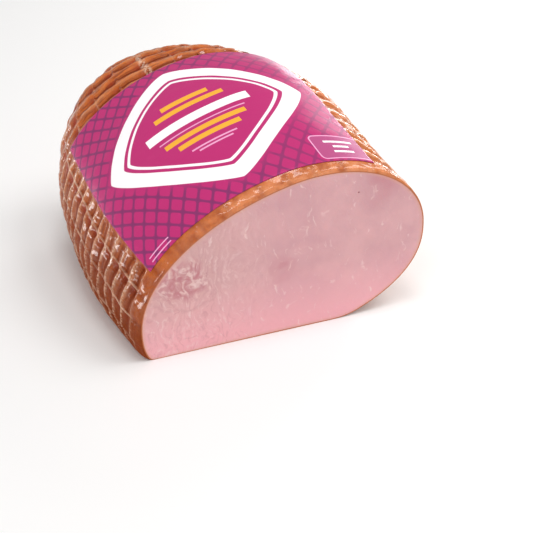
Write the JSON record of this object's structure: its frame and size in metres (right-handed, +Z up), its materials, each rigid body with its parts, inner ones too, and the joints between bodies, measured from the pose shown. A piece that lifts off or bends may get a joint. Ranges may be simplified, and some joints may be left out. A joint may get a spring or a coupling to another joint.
{
  "type": "half ham with netted smoked rind",
  "caption": "Half of a netted, smoked ham lying on its flat side, with a flat cut face in front, a rounded far end and a plain printed film label over its top.",
  "frame": {"origin": "on the floor under the middle of the bounding box", "axes": "+Z up, -Y the way the cut face looks, +Y towards the rounded far end, +X to the right of a viewer facing the cut face"},
  "size_m": [0.2214, 0.218, 0.1415],
  "materials": {
    "rind": "glossy orange-brown smoked rind with pale net marks; the cut face is matt pale pink meat",
    "film": "satin magenta printed film"
  },
  "bodies": {
    "root": {"ham": "rind", "label": "film"}
  },
  "joints": []
}
